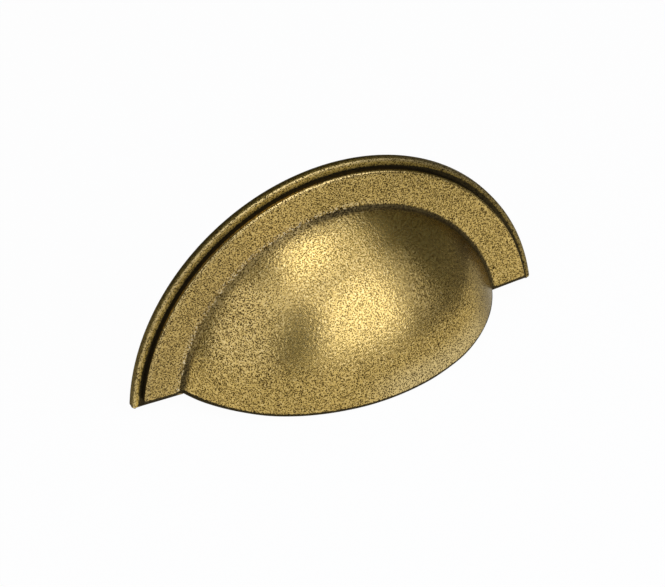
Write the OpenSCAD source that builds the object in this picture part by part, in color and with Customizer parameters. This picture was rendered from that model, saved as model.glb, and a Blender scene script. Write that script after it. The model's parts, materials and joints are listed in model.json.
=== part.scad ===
// Cup pull for a drawer front: one casting, half-moon base plate, raised flange and a domed finger cup.
// The flange stands back from the plate's edge by the same border all round, at its two feet as well.
// Frame: the back face lies in the plane Y = 0 and the front looks towards -Y, with +Z up. The origin is
// midway between the two screw holes, on the back face.
// The round forms are all turned about one axis along Y, which runs below the straight bottom edge.

/* [Base plate] */
// Thickness of the base plate
plate_t = 2; // [1.2:0.1:2.6]
// Width of the plate's border round the flange
plate_border = 2.1; // [1.2:0.1:4]
// Rounding of the plate's front edge
plate_edge_r = 0.4; // [0.2:0.1:0.8]
// Height of the turning axis below the plate's bottom edge
axis_drop = 4.1; // [2:0.1:8]

/* [Flange] */
// Radius of the raised flange's outer edge
flange_r = 50.4; // [48:0.2:58]
// Depth of the flange face at its outer edge, from the back face
flange_depth = 4; // [3.2:0.1:7]
// Rounding of the flange's outer edge
flange_edge_r = 0.5; // [0.2:0.1:0.8]
// Rise of the flange face from its outer edge to the foot of the cup
flange_rise = 0.5; // [0.1:0.1:1.5]

/* [Cup] */
// Radius of the cup where it leaves the flange
cup_r = 41.3; // [40:0.1:44]
// Projection of the cup's crown from the back face
cup_depth = 27.5; // [23:0.1:31]
// Lean of the cup's wall where it leaves the flange, in degrees from straight out
wall_lean = 26; // [10:1:30]
// Slope of the dome where its shoulder passes into the crown, in degrees
crown_slope = 67; // [55:1:75]
// Radius of the fillet between the cup and the flange
foot_fillet_r = 1.2; // [0.4:0.1:2]
// Thickness of the cup's wall
wall_t = 2.6; // [1.5:0.1:4]
// Slope of the cup's bottom edge, which drops towards the front, in degrees
rim_slope = 9; // [0:1:15]

/* [Fixing] */
// Distance between the two screw holes
hole_spacing = 64; // [50:1:66]
// Height of the screw holes above the plate's bottom edge
hole_height = 14; // [12:0.5:16]
// Tapping diameter of the screw holes
hole_d = 3.3; // [2.4:0.1:4.2]
// Depth of the screw holes from the back face
hole_depth = 6.5; // [4:0.5:7.5]
// Diameter of the bosses that carry the screw holes
boss_d = 10; // [7:0.5:11]

/* [Hidden] */
$fn = 96;

// How far the chords of an arc may lie inside the true curve
arc_sag = 0.008;
// How far a cutting shape runs past the face that it cuts through
cut_over = 1;
plate_r = flange_r + plate_border;
cut_size = 4 * plate_r;
axis_z = -hole_height - axis_drop;

// The dome's section is two tangent arcs, shoulder and crown. Their radii follow from the cup's foot,
// the height of its crown and the two slopes, as the solution of two straight equations.
foot_depth = flange_depth + flange_rise;
dome_h = cup_depth - foot_depth;
shoulder_dr = cos(wall_lean) - cos(crown_slope);
shoulder_dy = sin(crown_slope) - sin(wall_lean);
crown_dr = cos(crown_slope);
crown_dy = 1 - sin(crown_slope);
arcs_det = shoulder_dr * crown_dy - crown_dr * shoulder_dy;
shoulder_r = (cup_r * crown_dy - crown_dr * dome_h) / arcs_det;
crown_r = (shoulder_dr * dome_h - shoulder_dy * cup_r) / arcs_det;
foot = [cup_r, foot_depth];
shoulder_c = foot - shoulder_r * ray(wall_lean);
crown_c = [0, cup_depth - crown_r];

// The rounding of the flange's edge touches the side of the flange and its gently sloping face.
face_angle = atan2(flange_rise, flange_r - cup_r);
edge_drop = flange_edge_r * (1 - sin(face_angle)) / cos(face_angle);
edge_c = [flange_r - flange_edge_r, flange_depth - edge_drop];

// The fillet's centre lies off the flange face and off the shoulder by the fillet's own radius.
face_out = ray(-face_angle);
face_normal = ray(90 - face_angle);
fillet_from = foot + foot_fillet_r * face_normal - shoulder_c;
fillet_along = fillet_from * face_out;
fillet_reach = shoulder_r + foot_fillet_r;
fillet_run = sqrt(fillet_along ^ 2 - fillet_from * fillet_from + fillet_reach ^ 2) - fillet_along;
fillet_way = fillet_from + fillet_run * face_out;
fillet_c = shoulder_c + fillet_way;
fillet_end = atan2(fillet_way.y, fillet_way.x);

function ray(angle) = [cos(angle), sin(angle)];

// Points along an arc between two directions, seen from its centre; a join leaves out the first one
function arc(centre, r, from, to, join = false) =
    let (steps = ceil(abs(to - from) / (2 * acos(1 - arc_sag / r))))
    [for (i = [join ? 1 : 0 : steps]) centre + r * ray(from + (to - from) * i / steps)];

// Outline of the dome from a direction on its shoulder to the top of its crown, inset from its outside
function dome_line(inset, from, join = false) = concat(
    arc(shoulder_c, shoulder_r - inset, from, crown_slope, join),
    arc(crown_c, crown_r - inset, crown_slope, 90, join = true));

// Half section of the base plate, with its edge rounded to the front
module plate_section() {
    round_c = [plate_r - plate_edge_r, plate_t - plate_edge_r];
    polygon(concat([[0, 0], [plate_r, 0]], arc(round_c, plate_edge_r, 0, 90), [[0, plate_t]]));
}

// Half section of the flange and the dome on it, with the fillet between them
module front_section() {
    polygon(concat(
        [[0, 0], [flange_r, 0]],
        arc(edge_c, flange_edge_r, 0, 90 - face_angle),
        arc(fillet_c, foot_fillet_r, -90 - face_angle, fillet_end - 180),
        dome_line(0, fillet_end, join = true)));
}

// Half section of the space under the dome, inset from its outside; the wall runs on straight past the back
module under_dome_section(inset, back) {
    inner_foot = foot - inset * ray(wall_lean);
    mouth_r = inner_foot.x + (inner_foot.y - back) * tan(wall_lean);
    polygon(concat([[0, back], [mouth_r, back]], dome_line(inset, wall_lean)));
}

// Turns a half section about the pull's axis; the section's height becomes the depth in front of the back
module turned() {
    translate([0, 0, axis_z]) rotate([90, 0, 0]) rotate_extrude() children();
}

// The space below a flat bottom edge, which may slope down towards the front
module below(slope) {
    rotate([slope, 0, 0])
        translate([-cut_size / 2, -cut_size / 2, -cut_size])
            cube(cut_size);
}

// Base plate, straight along its bottom edge
module plate() {
    difference() {
        turned() plate_section();
        translate([0, 0, -hole_height]) below(0);
    }
}

// Flange and dome, whose sloping bottom edge starts one border above the plate's at the flange face
module front() {
    difference() {
        turned() front_section();
        translate([0, -flange_depth, plate_border - hole_height]) below(rim_slope);
    }
}

// Places its children on both screw axes, turned so that their height runs into the casting
module at_holes() {
    for (side = [-1, 1])
        translate([side * hole_spacing / 2, 0, 0]) rotate([90, 0, 0]) children();
}

// Bosses that run from the back face into the thickness of the cup's wall
module bosses() {
    intersection() {
        at_holes() cylinder(d = boss_d, h = cup_depth);
        turned() under_dome_section(wall_t / 2, 0);
    }
}

module cup_pull() {
    color("darkgoldenrod")
        difference() {
            union() {
                difference() {
                    union() {
                        plate();
                        front();
                    }
                    turned() under_dome_section(wall_t, -cut_over);
                }
                bosses();
            }
            at_holes() translate([0, 0, -cut_over]) cylinder(d = hole_d, h = hole_depth + cut_over);
        }
}

cup_pull();
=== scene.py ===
import json
import math
import bmesh
import bpy
import numpy as np
from mathutils import Matrix, Vector


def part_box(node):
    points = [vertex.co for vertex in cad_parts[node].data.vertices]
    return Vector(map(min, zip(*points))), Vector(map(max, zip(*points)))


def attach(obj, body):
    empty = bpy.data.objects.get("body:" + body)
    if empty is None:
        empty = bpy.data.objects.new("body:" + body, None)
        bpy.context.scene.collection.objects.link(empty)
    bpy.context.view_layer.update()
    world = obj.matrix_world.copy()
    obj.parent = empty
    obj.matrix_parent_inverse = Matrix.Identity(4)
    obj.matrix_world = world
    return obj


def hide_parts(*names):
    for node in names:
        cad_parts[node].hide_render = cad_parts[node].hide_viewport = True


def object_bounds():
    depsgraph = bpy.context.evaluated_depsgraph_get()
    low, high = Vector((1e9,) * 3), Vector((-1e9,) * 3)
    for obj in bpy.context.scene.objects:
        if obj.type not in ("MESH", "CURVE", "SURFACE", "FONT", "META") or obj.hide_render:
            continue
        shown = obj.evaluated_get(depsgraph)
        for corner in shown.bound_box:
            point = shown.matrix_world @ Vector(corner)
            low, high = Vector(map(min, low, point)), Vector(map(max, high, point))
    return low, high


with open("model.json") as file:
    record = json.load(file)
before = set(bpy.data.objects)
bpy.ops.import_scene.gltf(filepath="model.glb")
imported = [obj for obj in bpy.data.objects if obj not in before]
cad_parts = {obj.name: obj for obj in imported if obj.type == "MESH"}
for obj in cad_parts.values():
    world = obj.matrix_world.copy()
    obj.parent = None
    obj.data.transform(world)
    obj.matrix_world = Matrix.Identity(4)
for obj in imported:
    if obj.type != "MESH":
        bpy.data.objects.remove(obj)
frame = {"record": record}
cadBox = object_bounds()                                  # box of the solids, before any dressing
scene = bpy.context.scene
scene.view_settings.view_transform = "Standard"
mm = 0.001
boltDims = next(m for m in frame["record"]["mounts"] if m["name"] == "screw_holes")["dims"]
print("frame loaded, box", [[round(v, 4) for v in corner] for corner in cadBox])

# Sizes of the casting in millimetres, its slopes in degrees and the rows of its skin. The turning axis runs
# along Y below the plate's bottom edge.
pull = dict(
    plateT=2.0, plateBorder=2.1, plateEdgeR=0.4, backEdgeR=0.25, axisDrop=4.1,
    flangeR=50.4, flangeDepth=4.0, flangeEdgeR=0.5, flangeRise=0.5,
    cupR=41.3, cupDepth=-cadBox[0][1] / mm, wallLean=26, crownSlope=67, footFilletR=1.2,
    wallT=2.6, rimSlope=9,
    rimR=1.0, innerRimR=0.7, endR=0.45, plateEndR=0.9,  # roundings along the bottom
    rimGrow=0.14,                                     # share of the rim over which endR grows to rimR
    rimBunch=0.35,                                    # how far the rim's columns draw together at its ends
    rimLowest=0.2, halvings=60,                       # search for the rim's height over the axis
    lipFade=1.2,                                      # end rounding fades over 1 / 1.2 of the plate's face
    buried=0.6, sunk=0.3, clear=0.1, seam=0.03,       # where the front and the bosses run into the plate
    weldDigits=5,                                     # points equal to this many digits are one
    columns=300, roundSteps=8, domeRows=64, innerRows=40,
    mouthRows=6, wallRows=3, stepRows=4, edgeRows=7, faceRows=26, filletRows=9,
    backRows=8, backEdgeRows=5, sideRows=5, lipRows=16, throatRows=4)


def ray(degrees):
    # unit vector, or rows of them, at an angle in the section plane (radius, depth)
    a = np.radians(degrees)
    return np.stack([np.cos(a), np.sin(a)], -1)


class Section:
    # the half section's derived points: two tangent arcs make the dome, a fillet joins it to the flange
    def __init__(self, p):
        lean, slope = math.radians(p["wallLean"]), math.radians(p["crownSlope"])
        self.foot = np.array([p["cupR"], p["flangeDepth"] + p["flangeRise"]])
        runs = [[math.cos(lean) - math.cos(slope), math.cos(slope)],
                [math.sin(slope) - math.sin(lean), 1 - math.sin(slope)]]
        self.shoulderR, self.crownR = np.linalg.solve(runs, [p["cupR"], p["cupDepth"] - self.foot[1]])
        self.shoulderC = self.foot - self.shoulderR * ray(p["wallLean"])
        self.crownC = np.array([0, p["cupDepth"] - self.crownR])
        self.joinCos = math.cos(slope)
        self.plateR = p["flangeR"] + p["plateBorder"]
        self.faceAngle = math.degrees(math.atan2(p["flangeRise"], p["flangeR"] - p["cupR"]))
        tilt = math.radians(self.faceAngle)
        drop = p["flangeEdgeR"] * (1 - math.sin(tilt)) / math.cos(tilt)
        self.edgeC = np.array([p["flangeR"] - p["flangeEdgeR"], p["flangeDepth"] - drop])
        start = self.foot + p["footFilletR"] * ray(90 - self.faceAngle) - self.shoulderC
        out = ray(-self.faceAngle)
        along = start @ out
        run = math.sqrt(along ** 2 - start @ start + (self.shoulderR + p["footFilletR"]) ** 2) - along
        self.filletC = self.shoulderC + start + run * out
        self.filletEnd = math.degrees(math.atan2(*(self.filletC - self.shoulderC)[::-1]))
        self.innerFoot = self.foot - p["wallT"] * ray(p["wallLean"])
        self.axisZ = cadBox[1][2] / mm - self.plateR


cut = Section(pull)


def mouthRadius(depth):
    # the hollow's straight wall behind the dome: its radius grows by the lean towards the back
    return cut.innerFoot[0] + (cut.innerFoot[1] - depth) * math.tan(math.radians(pull["wallLean"]))


def domeSkin(radius, inset):
    # depth and outward normal of the dome at a radius: crown arc in the middle, shoulder arc outside it
    crown, shoulder = cut.crownR - inset, cut.shoulderR - inset
    side = radius - cut.shoulderC[0]
    onCrown = radius < crown * cut.joinCos
    crownUp = np.sqrt(np.maximum(crown ** 2 - radius ** 2, 0))
    shoulderUp = np.sqrt(np.maximum(shoulder ** 2 - side ** 2, 0))
    depth = np.where(onCrown, cut.crownC[1] + crownUp, cut.shoulderC[1] + shoulderUp)
    outR = np.where(onCrown, radius / crown, side / shoulder)
    outD = np.where(onCrown, crownUp / crown, shoulderUp / shoulder)
    return depth, outR, outD


class Floor:
    # a flat bottom: its height over the axis at a depth, its slope to the front and its upward normal
    def __init__(self, height, depth, slope):
        self.tan, self.sin, self.cos = (f(math.radians(slope)) for f in (math.tan, math.sin, math.cos))
        self.height, self.depth = height, depth
        self.up = np.array([0, -self.sin, self.cos])

    def level(self, depth):
        return self.height - self.tan * (depth - self.depth)


plateFloor = Floor(pull["axisDrop"], 0, 0)
rimFloor = Floor(pull["axisDrop"] + pull["plateBorder"], pull["flangeDepth"], pull["rimSlope"])


def turn(radius, depth, angle):
    # section point (radius, depth) turned about the axis to an angle from +X
    return np.stack([radius * np.cos(angle), -depth + 0 * angle, cut.axisZ + radius * np.sin(angle)], -1)


def roundOver(point, normal, up, r, steps):
    # quarter bead that rolls a ball of radius r from the surface normal round to the bottom plane
    r = np.asarray(r)[..., None]
    down = np.broadcast_to(-up, normal.shape)
    swing = np.arccos(np.clip((normal * down).sum(-1, keepdims=True), -1, 1))
    share = np.arange(1, steps + 1) / steps
    share = share.reshape((steps,) + (1,) * point.ndim)
    blend = np.sin((1 - share) * swing) * normal + np.sin(share * swing) * down
    return point - r * normal + r * blend / np.sin(swing)


def ringGrid(profile, normal, bead, floor):
    # profile rows turned from the right end to the left; each row starts where a ball of radius bead
    # touches both the row's surface and the bottom plane, and then rolls over onto that plane
    (r, d), (nr, nd) = profile.T, normal.T
    sine = (bead * (1 + nd * floor.sin) + floor.level(d) * floor.cos) / ((r - bead * nr) * floor.cos)
    start = np.arcsin(sine)[:, None]
    angle = start + (math.pi - 2 * start) * np.linspace(0, 1, pull["columns"])
    grid = turn(r[:, None], d[:, None], angle)
    out = turn(nr[:, None], nd[:, None], angle) - np.array([0, 0, cut.axisZ])
    rolled = [roundOver(grid[:, i], out[:, i], floor.up, bead, pull["roundSteps"]) for i in (0, -1)]
    right, left = (np.moveaxis(rows, 0, 1) for rows in rolled)
    return np.concatenate([right[:, ::-1], grid, left], 1), grid


def rimCurve(endPoint, inset, facing, bead):
    # bottom curve of a dome skin: along x, the height where the ball of radius bead also meets the plane
    half, bunch = abs(endPoint[0]), pull["rimBunch"]
    reach = np.hypot(half, endPoint[2] - cut.axisZ)
    spread = math.acos(half / reach)
    share = np.linspace(0, 1, pull["columns"])
    turned = np.cos(spread + (math.pi - 2 * spread) * share) / math.cos(spread)
    x = half * (bunch * turned + (1 - bunch) * (1 - 2 * share))
    low, high = np.full_like(x, pull["rimLowest"]), np.sqrt(reach ** 2 - x ** 2)
    for _ in range(pull["halvings"]):                 # halving the height's range
        z = (low + high) / 2
        depth, outR, outD = domeSkin(np.hypot(x, z), inset)
        tilt = facing * (outR * z / np.hypot(x, z) * rimFloor.cos + outD * rimFloor.sin)
        over = (z - rimFloor.level(depth)) * rimFloor.cos > bead * (1 + tilt)
        low, high = np.where(over, low, z), np.where(over, z, high)
    return np.stack([x, z], -1)


def frontView(row):
    # a row's points as seen from the front: x, and height over the axis
    return np.stack([row[:, 0], row[:, 2] - cut.axisZ], -1)


def domePoints(chart, inset):
    # lifts front-view points (x, height over the axis) onto a dome skin, with its normals
    radius = np.hypot(chart[..., 0], chart[..., 1])
    depth, outR, outD = domeSkin(radius, inset)
    point = np.stack([chart[..., 0], -depth, cut.axisZ + chart[..., 1]], -1)
    normal = np.stack([outR * chart[..., 0] / radius, -outD, outR * chart[..., 1] / radius], -1)
    return point, normal


def arcRows(centre, r, first, last, count, sense=1):
    # points and outward normals along an arc of the section; sense -1 for a hollow fillet
    a = np.linspace(first, last, count)
    return centre + r * ray(a), sense * ray(a)


def lineRows(first, last, count, normal):
    # points along a straight stretch of the section, all with the same normal
    t = np.linspace(0, 1, count)[:, None]
    return np.asarray(first) * (1 - t) + np.asarray(last) * t, np.tile(normal, (count, 1))


def joinRows(parts):
    # strings stretches of the section together; a stretch's bead runs evenly from its first row to its last
    profile = np.concatenate([rows for (rows, _), _, _ in parts])
    normal = np.concatenate([out for (_, out), _, _ in parts])
    bead = np.concatenate([np.linspace(first, last, len(rows)) for (rows, _), first, last in parts])
    return profile, normal, bead


def gridFaces(rows, columns, first):
    # quads between neighbouring rows and columns of a grid whose vertices start at an index
    i = first + np.arange(rows * columns).reshape(rows, columns)
    return np.stack([i[:-1, :-1], i[:-1, 1:], i[1:, 1:], i[1:, :-1]], -1).reshape(-1, 4)


def closedMesh(name, grids, caps):
    # joins grids into one skin: equal points are welded, collapsed quads become triangles, caps close it
    points = np.concatenate([g.reshape(-1, 3) for g in grids])
    firsts = np.cumsum([0] + [g.shape[0] * g.shape[1] for g in grids])
    quads = np.concatenate([gridFaces(g.shape[0], g.shape[1], f) for g, f in zip(grids, firsts)])
    rounded = np.round(points, pull["weldDigits"])
    _, kept, where = np.unique(rounded, axis=0, return_index=True, return_inverse=True)
    where = where.reshape(-1)
    quads = where[quads]
    same = quads == np.roll(quads, -1, 1)
    once = same.sum(1) == 1                           # quads with one collapsed side
    whole = quads[~same.any(1)]
    whole = whole[(whole[:, 0] != whole[:, 2]) & (whole[:, 1] != whole[:, 3])]
    thin = quads[once][~same[once]].reshape(-1, 3)
    thin = thin[(thin != np.roll(thin, 1, 1)).all(1)]
    faces = whole.tolist() + thin.tolist()
    for gridIndex, column in caps:
        rows, columns = grids[gridIndex].shape[:2]
        loop = where[firsts[gridIndex] + np.arange(rows) * columns + column % columns]
        faces.append(loop[np.sort(np.unique(loop, return_index=True)[1])].tolist())
    mesh = bpy.data.meshes.new(name)
    mesh.from_pydata((points[kept] * mm).tolist(), [], faces)
    work = bmesh.new()
    work.from_mesh(mesh)
    bmesh.ops.recalc_face_normals(work, faces=work.faces)
    work.to_mesh(mesh)
    work.free()
    piece = bpy.data.objects.new(name, mesh)
    scene.collection.objects.link(piece)
    return piece


def frontShell(p):
    # flange rings from the hollow round the outside to the cup's foot, then the dome down to its rim
    # and back up on its inside; the rim's bead grows from its ends by a smooth step
    back, wall, endR = p["buried"], p["flangeR"], p["endR"]
    edge, edgeN = arcRows(cut.edgeC, p["flangeEdgeR"], 0, 90 - cut.faceAngle, p["edgeRows"])
    hollow, hollowN = arcRows(cut.filletC, p["footFilletR"], -90 - cut.faceAngle, cut.filletEnd - 180,
                              p["filletRows"], -1)
    mouth = (mouthRadius(back), back)
    profile, normal, bead = joinRows([
        (lineRows(cut.innerFoot, mouth, p["mouthRows"], -ray(p["wallLean"])), p["innerRimR"], 0),
        (lineRows((wall, back), (wall, p["plateT"] - p["sunk"]), p["wallRows"], (1, 0)), 0, 0),
        (lineRows((wall, p["plateT"] + p["clear"]), edge[0], p["stepRows"], (1, 0)), endR, endR),
        ((edge[1:], edgeN[1:]), endR, endR),
        (lineRows(edge[-1], hollow[0], p["faceRows"], ray(90 - cut.faceAngle)), endR, endR),
        ((hollow[1:], hollowN[1:]), endR, endR)])
    ring, main = ringGrid(profile, normal, bead, rimFloor)
    column = np.arange(p["columns"])
    grown = np.clip(np.minimum(column, column[::-1]) / (p["rimGrow"] * p["columns"]), 0, 1)
    rimBead = endR + (p["rimR"] - endR) * grown ** 2 * (3 - 2 * grown)
    outer = rimCurve(main[-1, 0], 0, 1, rimBead)
    inner = rimCurve(main[0, 0], p["wallT"], -1, p["innerRimR"])
    down = np.linspace(0, 1, p["domeRows"])[:, None, None]
    up = np.linspace(0, 1, p["innerRows"])[:, None, None]
    dome, domeN = domePoints(frontView(main[-1]) * (1 - down) + outer * down, 0)
    under, underN = domePoints(inner * (1 - up) + frontView(main[0]) * up, p["wallT"])
    dome[0], under[-1] = main[-1], main[0]            # shared rows
    innerBead = np.full(p["columns"], p["innerRimR"])
    rim = roundOver(dome[-1], domeN[-1], rimFloor.up, rimBead, p["roundSteps"])
    lip = roundOver(under[0], -underN[0], rimFloor.up, innerBead, p["roundSteps"])
    cup = np.concatenate([dome, rim, lip[::-1], under])
    return closedMesh("front", [ring, cup], [(0, 0), (0, -1)])


def basePlate(p):
    # closed section of the plate, with its two outer edges rounded, turned over the half-moon; the rounding
    # of its ends runs out towards the sharp inner corners
    t, endR = p["plateT"], p["plateEndR"]
    innerBack, innerFront = ((mouthRadius(depth) + p["seam"], depth) for depth in (0, t))
    backC = np.array([cut.plateR - p["backEdgeR"], p["backEdgeR"]])
    lipC = np.array([cut.plateR - p["plateEdgeR"], t - p["plateEdgeR"]])
    backEdge, backN = arcRows(backC, p["backEdgeR"], -90, 0, p["backEdgeRows"])
    lipEdge, lipN = arcRows(lipC, p["plateEdgeR"], 0, 90, p["edgeRows"])
    section = joinRows([
        (lineRows(innerBack, backEdge[0], p["backRows"], (0, -1)), 0, endR),
        ((backEdge[1:], backN[1:]), endR, endR),
        (lineRows(backEdge[-1], lipEdge[0], p["sideRows"], (1, 0)), endR, endR),
        ((lipEdge[1:], lipN[1:]), endR, endR),
        (lineRows(lipEdge[-1], innerFront, p["lipRows"], (0, 1)), p["lipFade"] * endR, 0),
        (lineRows(innerFront, innerBack, p["throatRows"], -ray(p["wallLean"])), 0, 0)])
    profile, normal, bead = (np.concatenate([v, v[:1]]) for v in section)
    ring, _ = ringGrid(profile, normal, np.minimum(bead, endR), plateFloor)
    return closedMesh("plate", [ring], [(0, 0), (0, -1)])


# Bosses and their tapped holes, in millimetres
fixing = dict(bossD=10, bossRound=0.4, rings=(0, 1.0, 2.4, 3.6), sides=56, roundRows=4, postRows=12,
              holeDepth=6.5, cutOver=1, pitch=0.7, threadDeep=0.4, leadIn=0.5, leadMost=2,
              threadSides=36, threadRows=96)


def bossPost(side):
    # round post from the back face into the wall: rings grow on the back, run forward and end on mid wall
    f = fixing
    r, c, rings = f["bossD"] / 2, f["bossRound"], np.array(f["rings"])
    angle = np.linspace(0, 2 * math.pi, f["sides"] + 1)
    arc = np.linspace(0, math.pi / 2, f["roundRows"])
    radii = np.concatenate([rings, r - c + c * np.sin(arc), np.full(f["postRows"], r), rings[::-1]])
    share = np.concatenate([0 * rings, 0 * arc, np.linspace(0, 1, f["postRows"] + 1)[1:], 0 * rings + 1])
    lift = np.concatenate([0 * rings, c * (1 - np.cos(arc)), np.zeros(f["postRows"]), 0 * rings])
    lift += pull["seam"]
    x = side * boltDims["spacing_x_mm"] / 2 + radii[:, None] * np.cos(angle)
    z = radii[:, None] * np.sin(angle)
    end = domeSkin(np.hypot(x, z - cut.axisZ), pull["wallT"] / 2)[0]
    y = -(lift[:, None] * (1 - share[:, None]) + end * share[:, None])
    grid = np.stack([x, y, z], -1)
    grid[:, -1] = grid[:, 0]
    return closedMesh("boss", [grid], [])


def threadCore(side):
    # screw-shaped core of a tapped hole: its radius follows a V that climbs one pitch a turn, fades out
    # at the hole's end and widens to a cone at its mouth
    f = fixing
    angle = np.linspace(0, 2 * math.pi, f["threadSides"] + 1)
    depth = np.linspace(-f["cutOver"], f["holeDepth"], f["threadRows"])
    turns = depth[:, None] / f["pitch"] - angle / (2 * math.pi)
    crest = np.abs(((turns % 1) - 0.5) * 2)
    fade = np.clip((f["holeDepth"] - depth) / f["pitch"], 0, 1)[:, None]
    lead = np.clip(1 - depth / f["leadIn"], 0, f["leadMost"])[:, None]
    wall = boltDims["hole_r_mm"] + f["threadDeep"] * np.maximum(crest * fade, lead)
    radii = np.concatenate([0 * wall[:1], wall, 0 * wall[:1]])
    deep = np.concatenate([depth[:1], depth, depth[-1:]])[:, None]
    x = side * boltDims["spacing_x_mm"] / 2 + radii * np.cos(angle)
    grid = np.stack([x, -deep + 0 * radii, radii * np.sin(angle)], -1)
    grid[:, -1] = grid[:, 0]
    return closedMesh("tap", [grid], [])


def carve(piece, others, operation):
    # joins or cuts solids with the manifold solver and keeps the result in the piece's own mesh
    for other in others:
        step = piece.modifiers.new("carve", "BOOLEAN")
        step.operation, step.object, step.solver = operation, other, "MANIFOLD"
    bpy.context.view_layer.update()
    result = bpy.data.meshes.new_from_object(piece.evaluated_get(bpy.context.evaluated_depsgraph_get()))
    piece.modifiers.clear()
    piece.data = result
    for other in others:
        bpy.data.objects.remove(other)


casting = frontShell(pull)
casting.name = "casting"
carve(casting, [basePlate(pull)] + [bossPost(s) for s in (-1, 1)], "UNION")
carve(casting, [threadCore(s) for s in (-1, 1)], "DIFFERENCE")
casting.data.name = "casting"
print("casting joined:", len(casting.data.vertices), "points", len(casting.data.polygons), "faces")

# Sand-cast unevenness and the hidden side, in millimetres
castSkin = dict(
    height=0.025, flatTo=0.6, fullOver=3,             # none as far as flatTo, full after fullOver more
    waves=((0.42, 0.31, 0.55), (-0.36, 0.62, 0.21), (0.75, -0.24, -0.58), (0.18, 0.83, 0.9)),  # radians a mm
    mouthOver=0.5, backReach=0.2,
    wallShare=0.5,                                    # the hidden side starts half way through the wall
    sharpAngle=38)                                    # degrees between faces, past which an edge is sharp


def castSurface(mesh):
    # slow unevenness of a sand casting: the mean of a few sine waves moves points along their normals,
    # with the back face kept flat; an attribute marks the hollow and the back
    s = castSkin
    flat = np.empty(len(mesh.vertices) * 3)
    mesh.vertices.foreach_get("co", flat)
    point = flat.reshape(-1, 3) / mm
    mesh.vertex_normals.foreach_get("vector", flat)
    normal = flat.reshape(-1, 3)
    waves, front = np.array(s["waves"]), -point[:, 1]
    swell = np.sin(point @ waves.T + np.arange(len(waves))).mean(1)
    keep = np.clip((front - s["flatTo"]) / s["fullOver"], 0, 1)
    moved = point + normal * (s["height"] * swell * keep)[:, None]
    mesh.vertices.foreach_set("co", (moved * mm).ravel())
    radius = np.hypot(point[:, 0], point[:, 2] - cut.axisZ)
    skin = domeSkin(np.minimum(radius, cut.foot[0]), 0)[0]
    inside = (radius < mouthRadius(0) + s["mouthOver"]) & (front < skin - s["wallShare"] * pull["wallT"])
    hidden = inside | (front < s["backReach"])
    mesh.attributes.new("hiddenSide", "FLOAT", "POINT").data.foreach_set("value", hidden.astype(np.float32))
    mesh.polygons.foreach_set("use_smooth", np.ones(len(mesh.polygons), bool))
    mesh.set_sharp_from_angle(angle=math.radians(s["sharpAngle"]))
    mesh.update()


castSurface(casting.data)


class Nodes:
    # short names for adding shader nodes to one tree; a number or a socket may go into any input
    def __init__(self, tree):
        self.tree = tree

    def add(self, kind, **settings):
        node = self.tree.nodes.new(kind)
        for key, value in settings.items():
            setattr(node, key, value)
        return node

    def put(self, socket, value):
        if isinstance(value, bpy.types.NodeSocket):
            self.tree.links.new(value, socket)
        else:
            socket.default_value = value

    def math(self, operation, first, others):         # one math node for each further value
        for other in others:
            node = self.add("ShaderNodeMath", operation=operation)
            self.put(node.inputs[0], first)
            self.put(node.inputs[1], other)
            first = node.outputs[0]
        return first

    def plus(self, first, *others):
        return self.math("ADD", first, others)

    def minus(self, first, *others):
        return self.math("SUBTRACT", first, others)

    def times(self, first, *others):
        return self.math("MULTIPLY", first, others)

    def most(self, first, *others):
        return self.math("MAXIMUM", first, others)

    def vector(self, operation, a, b=(0, 0, 0)):
        node = self.add("ShaderNodeVectorMath", operation=operation)
        self.put(node.inputs[0], a)
        self.put(node.inputs[1], b)
        return node.outputs["Value" if operation in ("LENGTH", "DOT_PRODUCT") else "Vector"]

    def ramp(self, value, low, high):                 # smooth step, 0 at low and 1 at high
        node = self.add("ShaderNodeMapRange", interpolation_type="SMOOTHSTEP")
        for name, given in (("Value", value), ("From Min", low), ("From Max", high)):
            self.put(node.inputs[name], given)
        return node.outputs["Result"]

    def noise(self, coord, scale, detail=2.0):
        node = self.add("ShaderNodeTexNoise")
        for name, given in (("Vector", coord), ("Scale", scale), ("Detail", detail)):
            self.put(node.inputs[name], given)
        return node.outputs["Fac"]

    def cells(self, coord, scale):
        node = self.add("ShaderNodeTexVoronoi")
        self.put(node.inputs["Vector"], coord)
        self.put(node.inputs["Scale"], scale)
        return node.outputs["Distance"]

    def mix(self, share, a, b):                       # mix of two colours
        node = self.add("ShaderNodeMix", data_type="RGBA")
        self.put(node.inputs[0], share)
        for socket, given in ((node.inputs[6], a), (node.inputs[7], b)):
            self.put(socket, given if isinstance(given, bpy.types.NodeSocket) else (*given, 1))
        return node.outputs[2]

    def blend(self, share, a, b):                     # mix of two values
        node = self.add("ShaderNodeMix", data_type="FLOAT")
        for socket, given in zip(node.inputs[:1] + node.inputs[2:4], (share, a, b)):
            self.put(socket, given)
        return node.outputs[0]


# Colours of the brass. The pale edge and crease-line tones also paint highlights; the near-black tone is
# oxide in the hollows and also paints shade in the step, the crease and along the bottom; the dull dark brown
# paints shade on the cup's far right and darkens the flange's far left.
brass = dict(
    gold=(0.6, 0.418, 0.12), olive=(0.53, 0.37, 0.103), wornAndLit=(0.72, 0.57, 0.27), rubbedAndLit=(0.78, 0.68, 0.47),
    pit=(0.058, 0.034, 0.006), dusk=(0.25, 0.155, 0.042), lip=(0.7, 0.48, 0.09), patinaAndShade=(0.018, 0.014, 0.008),
    inside=(0.24, 0.18, 0.085), darkTint=(0.17, 0.13, 0.065),
    glancing=(0.72, 0.69, 0.6, 1),                    # old brass stays dull at a glancing angle
    roughness=0.23, pitRoughness=0.38, patinaRoughness=0.55,
    cellScale=2950, fineScale=4600, coarseScale=1850, slowScale=60, reliefDepth=0.00017)

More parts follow.
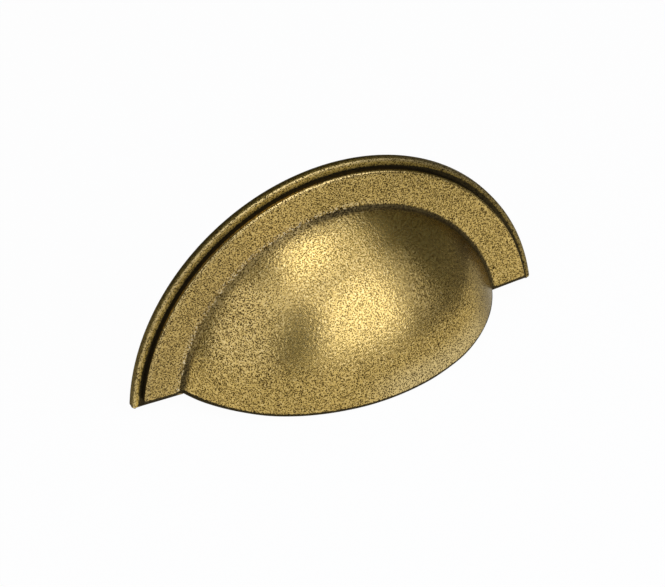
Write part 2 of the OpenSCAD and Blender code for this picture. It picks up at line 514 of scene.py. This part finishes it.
# Where each mask of the brass goes from 0 to 1. Radius from the turning axis, depth in front of the back
# face, across to the right of the middle and level over the rim's plane are in millimetres. Grain, coarse and
# slow are values of the cell pattern and the noises.
zone = dict(
    pitGrain=(0.55, 0.25), pitCoarse=(0.36, 0.3), peakGrain=(0.6, 0.92), reliefGrain=(0.08, 0.42),
    mottleCoarse=(0.54, 0.38), goldSlow=(0.35, 0.65),
    handledDepth=(4.5, 8), handledLevel=(9, 16), handledLeft=(-26, -15), handledRight=(16, 6),
    right=(-5, 30), farRight=(16, 36), upper=(8, 24), left=(0, -15), lower=(26, 6), farLeft=(-20, -36),
    # the step, crease and bottom zones below place dark oxide together with painted shade, and the shade zone
    # is painted shade on the plate's lip face
    stepDepth=(3.75, 3.3), stepRadius=(51, 50.5), stepFront=(1.4, 1.7), stepInner=(49.6, 50.1),
    sideRadius=(52.25, 52.45), sideDepth=(1.9, 0.8),
    creaseOuter=(42.3, 41.8), creaseInner=(40.5, 41.2), creaseDepth=(6.6, 5.3), creaseRight=(0, 40),
    faintLeft=(0, -10), faintLevel=(6, 14),
    bottomLevel=(0.75, 0.5), bottomDepth=(2.05, 2.3), bottomRadius=(50.9, 50.4), bottomCup=(43, 41),
    shadeRadius=(50.3, 50.6), shadeDepth=(2.2, 2.05), lipRadius=(50.4, 50.6), lipDepth=(2.3, 2.1),
    # below, the flange's left edge, the pale line beside the crease and the low front of the cup carry
    # painted highlights; the last line places painted shade on the cup's far right and a darker far left of
    # the flange
    flangeEdgeRadius=(49.3, 49.9), flangeEdgeDepth=(3.6, 3.8), flangeEdgeLeft=(25, 5),
    lipEdgeRadius=(51.5, 52.1), lipEdgeDepth=(1.55, 1.8),
    rubbedLitInner=(41.6, 42.4), rubbedLitOuter=(43.8, 42.4), rubbedLitDepth=(4, 4.2), rubbedLitLeft=(18, -5),
    rubbedLitCoarse=(0.5, 0.62),
    lowHighlightRight=(-8, 8), lowHighlightDepth=(13, 19), lowHighlightLevel=(9, 3),
    cupShadeRight=(26, 37), cupShadeDepth=(5, 6.5), darkerFlangeLeft=(-16, -32), darkerFlangeRadius=(41.5, 42.5))

# How strongly each mask acts, and how many millimetres it moves another mask's place
amount = dict(
    fineGrain=0.9, coarseRelief=0.4, ragged=3, pitsHandled=0.84, mottle=0.55, mottleHandled=0.4, peaks=0.45,
    # the step, crease, bottom, lip-face shade and dark-band strengths below also paint shade; the flange
    # edge's, the low front's and the crease line's strengths also paint highlights
    stepRagged=0.2, stepRight=0.2, stepFarRight=0.65, stepLowerLeft=0.45, stepUpperLeft=0.35,
    side=0.78, sideRagged=0.5, sideLowerLeft=0.6,
    crease=0.9, creaseRagged=0.45, creaseSmooth=0.25, creaseRight=2.4, creaseFaint=0.3,
    bottomRagged=0.16, bottomCup=0.6, bottomRise=0.05, shade=0.66, patinaAndShade=0.95,
    flangeEdgeWearAndHighlight=0.4, wornAndLit=0.55, lowFrontHighlight=0.6, rubbedAndLit=0.85, lip=0.8,
    darkTint=0.76, darkerFlange=0.28, hidden=0.7)


def antiqueBrass():
    # patina, wear, painted shade and painted highlights follow the turned forms: each mask is a smooth step
    # of radius, depth, across or level, which come from Object coordinates, and the pits are the low spots of
    # a cell pattern with fine noise
    b, s = brass, amount
    material = bpy.data.materials.new("antiqueBrass")
    material.use_nodes = True
    n = Nodes(material.node_tree)
    shader = material.node_tree.nodes["Principled BSDF"]

    def mask(value, name):                            # smooth step of a value over a named zone
        return n.ramp(value, *zone[name])

    coord = n.add("ShaderNodeTexCoord").outputs["Object"]
    hidden = n.add("ShaderNodeAttribute", attribute_name="hiddenSide").outputs["Fac"]
    fromAxis = n.vector("SUBTRACT", coord, (0, 0, cut.axisZ * mm))
    radius = n.times(n.vector("LENGTH", n.vector("MULTIPLY", fromAxis, (1, 0, 1))), 1 / mm)
    depth = n.vector("DOT_PRODUCT", coord, (0, -1 / mm, 0))
    across = n.vector("DOT_PRODUCT", coord, (1 / mm, 0, 0))
    rimHeight = rimFloor.level(0) * rimFloor.cos
    level = n.minus(n.vector("DOT_PRODUCT", fromAxis, tuple(rimFloor.up / mm)), rimHeight)
    fine = n.noise(coord, b["fineScale"], 1.0)
    coarse = n.noise(coord, b["coarseScale"])
    slow = n.noise(coord, b["slowScale"])
    grain = n.plus(n.cells(coord, b["cellScale"]), n.times(n.minus(fine, 0.5), s["fineGrain"]))
    ragged = n.times(n.minus(coarse, 0.5), s["ragged"])

    # pits and mottling, which hands have rubbed smoother on the crown
    handled = n.times(mask(depth, "handledDepth"), mask(level, "handledLevel"),
                      mask(across, "handledLeft"), mask(across, "handledRight"))
    pits = n.times(n.most(mask(grain, "pitGrain"), mask(coarse, "pitCoarse")),
                   n.minus(1.0, n.times(handled, s["pitsHandled"])))
    mottle = n.times(mask(coarse, "mottleCoarse"), n.minus(s["mottle"], n.times(handled, s["mottleHandled"])))
    peaks = n.times(mask(grain, "peakGrain"), s["peaks"])

    # dark patina in the step, on the plate's side, in the crease round the cup's foot and along the bottom,
    # with painted shade: wider bands on the right, the lip face shaded on the right, the bottom edge darkened
    right = mask(across, "right")
    upperLeft = n.times(mask(level, "upper"), mask(across, "left"))
    lowerLeft = n.times(mask(level, "lower"), mask(across, "farLeft"))
    # the step's dark band is oxide in the groove, made wider on the right and lower left and narrower on the
    # upper left as painted shade
    stepR = n.minus(n.plus(radius, n.times(ragged, s["stepRagged"])), n.times(right, s["stepRight"]),
                    n.times(mask(across, "farRight"), s["stepFarRight"]),
                    n.times(lowerLeft, s["stepLowerLeft"]))
    stepD = n.plus(depth, n.times(upperLeft, s["stepUpperLeft"]))
    step = n.times(mask(stepD, "stepDepth"), mask(stepR, "stepRadius"),
                   mask(depth, "stepFront"), mask(radius, "stepInner"))
    sideD = n.minus(n.plus(depth, n.times(ragged, s["sideRagged"])), n.times(lowerLeft, s["sideLowerLeft"]))
    side = n.times(mask(radius, "sideRadius"), mask(sideD, "sideDepth"), s["side"])
    # the crease's dark line is oxide; it reaches further onto the dome on the right and is fainter on the
    # upper left as painted shade
    raggedCrease = n.times(ragged, n.minus(s["creaseRagged"], n.times(right, s["creaseSmooth"])))
    creaseR = n.plus(radius, raggedCrease)
    creaseD = n.minus(depth, n.times(mask(across, "creaseRight"), s["creaseRight"]))
    faint = n.times(mask(across, "faintLeft"), mask(level, "faintLevel"), s["creaseFaint"])
    crease = n.times(mask(creaseR, "creaseOuter"), mask(creaseR, "creaseInner"), mask(creaseD, "creaseDepth"),
                     n.minus(s["crease"], faint))
    # darker along the bottom edge: oxide with painted shade where no light reaches under the casting
    overEdge = n.minus(n.plus(level, n.times(ragged, s["bottomRagged"])),
                       n.times(mask(radius, "bottomCup"), s["bottomCup"]), s["bottomRise"])
    bottom = n.times(mask(overEdge, "bottomLevel"), n.minus(1.0, hidden),
                     n.most(mask(depth, "bottomDepth"), mask(radius, "bottomRadius")))
    shade = n.times(mask(radius, "shadeRadius"), mask(depth, "shadeDepth"), right, s["shade"])
    patinaAndShade = n.most(step, shade, side, crease, bottom)

    # edge wear with a painted highlight on the flange's left edge, a painted highlight low on the cup's
    # front, a line beside the crease that is rubbing and a painted highlight, the plate's lip, painted shade
    # on the cup's far right and a darker far left of the flange
    # the flange's outer edge on the left gets a painted highlight on top of its edge wear
    flangeEdgeWearAndHighlight = n.times(mask(radius, "flangeEdgeRadius"), mask(depth, "flangeEdgeDepth"),
                         mask(across, "flangeEdgeLeft"), s["flangeEdgeWearAndHighlight"])
    wornLip = n.times(mask(radius, "lipEdgeRadius"), mask(depth, "lipEdgeDepth"))
    # painted highlight low on the front of the cup
    lowFrontHighlight = n.times(mask(across, "lowHighlightRight"), mask(depth, "lowHighlightDepth"),
                       mask(level, "lowHighlightLevel"), s["lowFrontHighlight"])
    wornAndLit = n.most(n.times(n.most(flangeEdgeWearAndHighlight, wornLip), n.minus(1.0, pits), s["wornAndLit"]), lowFrontHighlight)
    # pale line beside the crease on the left: rubbing and a painted highlight
    rubbedAndLit = n.times(mask(creaseR, "rubbedLitInner"), mask(creaseR, "rubbedLitOuter"), mask(depth, "rubbedLitDepth"),
                     mask(across, "rubbedLitLeft"), mask(coarse, "rubbedLitCoarse"), s["rubbedAndLit"])
    lip = n.times(mask(radius, "lipRadius"), mask(depth, "lipDepth"), s["lip"])
    # darker far left of the flange, and painted shade on the cup's far right
    flangeDarkening = n.times(mask(across, "darkerFlangeLeft"), mask(radius, "darkerFlangeRadius"), s["darkerFlange"])
    cupShade = n.times(mask(across, "cupShadeRight"), mask(depth, "cupShadeDepth"))
    darkTint = n.times(n.most(cupShade, flangeDarkening), s["darkTint"])

    colour = n.mix(mask(slow, "goldSlow"), b["olive"], b["gold"])
    for share, name in ((mottle, "dusk"), (lip, "lip"), (rubbedAndLit, "rubbedAndLit"), (wornAndLit, "wornAndLit"), (peaks, "wornAndLit"),
                        (pits, "pit"), (darkTint, "darkTint"), (n.times(hidden, s["hidden"]), "inside"),
                        (n.times(patinaAndShade, s["patinaAndShade"]), "patinaAndShade")):
        colour = n.mix(share, colour, b[name])
    rough = n.blend(pits, b["roughness"], b["pitRoughness"])
    rough = n.blend(n.most(patinaAndShade, hidden, lip), rough, b["patinaRoughness"])
    bump = n.add("ShaderNodeBump")
    bump.inputs["Distance"].default_value = b["reliefDepth"]
    n.put(bump.inputs["Height"], n.plus(mask(grain, "reliefGrain"), n.times(coarse, s["coarseRelief"])))
    n.put(shader.inputs["Base Color"], colour)
    n.put(shader.inputs["Roughness"], rough)
    n.put(shader.inputs["Normal"], bump.outputs["Normal"])
    shader.inputs["Metallic"].default_value = 1.0
    shader.inputs["Specular Tint"].default_value = b["glancing"]
    return material


casting.data.materials.clear()
casting.data.materials.append(antiqueBrass())
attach(casting, "root")
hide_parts("cup_pull")
print("casting dressed in antique brass")

# Viewing angle in degrees, lengths in millimetres; the view's middle lies moveRight and moveUp from the aimed
# point, and the image's width is in pixels
view = dict(azimuth=-26.1414, elevation=34.119, roll=-2.9091, distance=1344.0, moveRight=1.04, moveUp=8.12,
            aimDepth=-0.9, aimOverAxis=6.62, pixelsPerMm=4.29, imageWidth=665, sensorWidth=36)
studio = dict(
    floorSize=6.0, floorColour=(0.82, 0.82, 0.81, 1), whiteShare=0.97,
    cardNear=0.098, cardFar=0.7, cardHalf=0.7, cardLift=0.0005,  # metres, to the right of the view
    cardColour=(0.03, 0.03, 0.03, 1), cardRoughness=0.9,
    world=(0.128, 0.135, 0.112, 1), lampColour=(1.0, 1.04, 1.3),
    target=(0, -12, 5),                               # millimetres, the middle of the front
    # name, azimuth and elevation in degrees, distance, width and height in metres, watts
    lamps=(
        ("topBox", 16, 64, 0.9, 0.96, 0.72, 2.75),
        ("topSpot", -3, 69, 0.9, 0.42, 0.36, 0.68),
        ("frontBox", 16.6, 17.5, 0.9, 0.7, 0.74, 3.6),
        ("sideBox", 52.5, 16, 0.9, 0.3, 0.7, 0.42),
        ("leftPanel", -57.2, 25.2, 1.0, 0.85, 1.08, 3.1)))


def aim(azimuth, elevation):
    # direction from the pull; azimuth 0 is straight in front and grows to its right
    a, e = math.radians(azimuth), math.radians(elevation)
    return Vector((math.sin(a) * math.cos(e), -math.cos(a) * math.cos(e), math.sin(e)))


def flatPiece(name, corners, height, material):
    # level four-cornered piece of the stage
    mesh = bpy.data.meshes.new(name)
    mesh.from_pydata([(x, y, height) for x, y in corners], [], [(0, 1, 2, 3)])
    mesh.materials.append(material)
    piece = bpy.data.objects.new(name, mesh)
    scene.collection.objects.link(piece)
    return piece


def paleFloor(s):
    # matte floor that looks white to the camera and in reflections, and still shows a little of the shadow
    material = bpy.data.materials.new("paleFloor")
    material.use_nodes = True
    n = Nodes(material.node_tree)
    material.node_tree.nodes.remove(material.node_tree.nodes["Principled BSDF"])
    path = n.add("ShaderNodeLightPath").outputs
    seen = n.most(path["Is Camera Ray"], path["Is Glossy Ray"], path["Is Transmission Ray"])
    matte = n.add("ShaderNodeBsdfDiffuse")
    matte.inputs["Color"].default_value = s["floorColour"]
    white = n.add("ShaderNodeEmission")
    both = n.add("ShaderNodeMixShader")
    n.put(both.inputs[0], n.times(seen, s["whiteShare"]))
    n.put(both.inputs[1], matte.outputs[0])
    n.put(both.inputs[2], white.outputs[0])
    n.put(material.node_tree.nodes["Material Output"].inputs["Surface"], both.outputs[0])
    return material


def blackCard(s):
    # plain dull black
    material = bpy.data.materials.new("blackCard")
    material.use_nodes = True
    shader = material.node_tree.nodes["Principled BSDF"]
    shader.inputs["Base Color"].default_value = s["cardColour"]
    shader.inputs["Roughness"].default_value = s["cardRoughness"]
    return material


def buildStudio(s):
    # floor under the pull, a dark card beside it that shows only in the metal, soft boxes and an even room
    size, low = s["floorSize"] / 2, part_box("cup_pull")[0][2]
    flatPiece("floor", [(-size, -size), (size, -size), (size, size), (-size, size)], low, paleFloor(s))
    a, near, far, half = math.radians(view["azimuth"]), s["cardNear"], s["cardFar"], s["cardHalf"]
    corners = [(r * math.cos(a) - d * math.sin(a), r * math.sin(a) + d * math.cos(a))
               for r, d in ((near, -half), (far, -half), (far, half), (near, half))]
    card = flatPiece("darkCard", corners, low + s["cardLift"], blackCard(s))
    card.visible_camera = card.visible_diffuse = card.visible_shadow = False
    for name, azimuth, elevation, distance, width, height, watts in s["lamps"]:
        lamp = bpy.data.lights.new(name, "AREA")
        lamp.shape, lamp.size, lamp.size_y, lamp.energy = "RECTANGLE", width, height, watts
        lamp.color = s["lampColour"]
        box = bpy.data.objects.new(name, lamp)
        way = aim(azimuth, elevation)
        box.location = Vector(s["target"]) * mm + way * distance
        box.rotation_euler = way.to_track_quat("Z", "Y").to_euler()
        scene.collection.objects.link(box)
    world = bpy.data.worlds.new("room")
    world.use_nodes = True
    world.node_tree.nodes["Background"].inputs["Color"].default_value = s["world"]
    scene.world = world
    print("studio built, floor at", round(low, 4))


def buildCamera(v):
    # camera looks along the viewing angle, turned by the roll, from its distance to the aimed point
    back = aim(v["azimuth"], v["elevation"])
    a, r = math.radians(v["azimuth"]), math.radians(v["roll"])
    level = Vector((math.cos(a), math.sin(a), 0))
    upright = back.cross(level)
    right = level * math.cos(r) + upright * math.sin(r)
    up = upright * math.cos(r) - level * math.sin(r)
    aimed = Vector((0, -v["aimDepth"], cut.axisZ + v["aimOverAxis"]))
    place = (aimed + back * v["distance"] + right * v["moveRight"] + up * v["moveUp"]) * mm
    data = bpy.data.cameras.new("camera")
    data.sensor_fit, data.sensor_width = "HORIZONTAL", v["sensorWidth"]
    data.lens = v["pixelsPerMm"] * v["distance"] / v["imageWidth"] * v["sensorWidth"]
    camera = bpy.data.objects.new("camera", data)
    camera.matrix_world = Matrix.Translation(place) @ Matrix((right, up, back)).transposed().to_4x4()
    scene.collection.objects.link(camera)
    scene.camera = camera
    print("camera set, lens", round(data.lens, 1))


buildStudio(studio)
buildCamera(view)
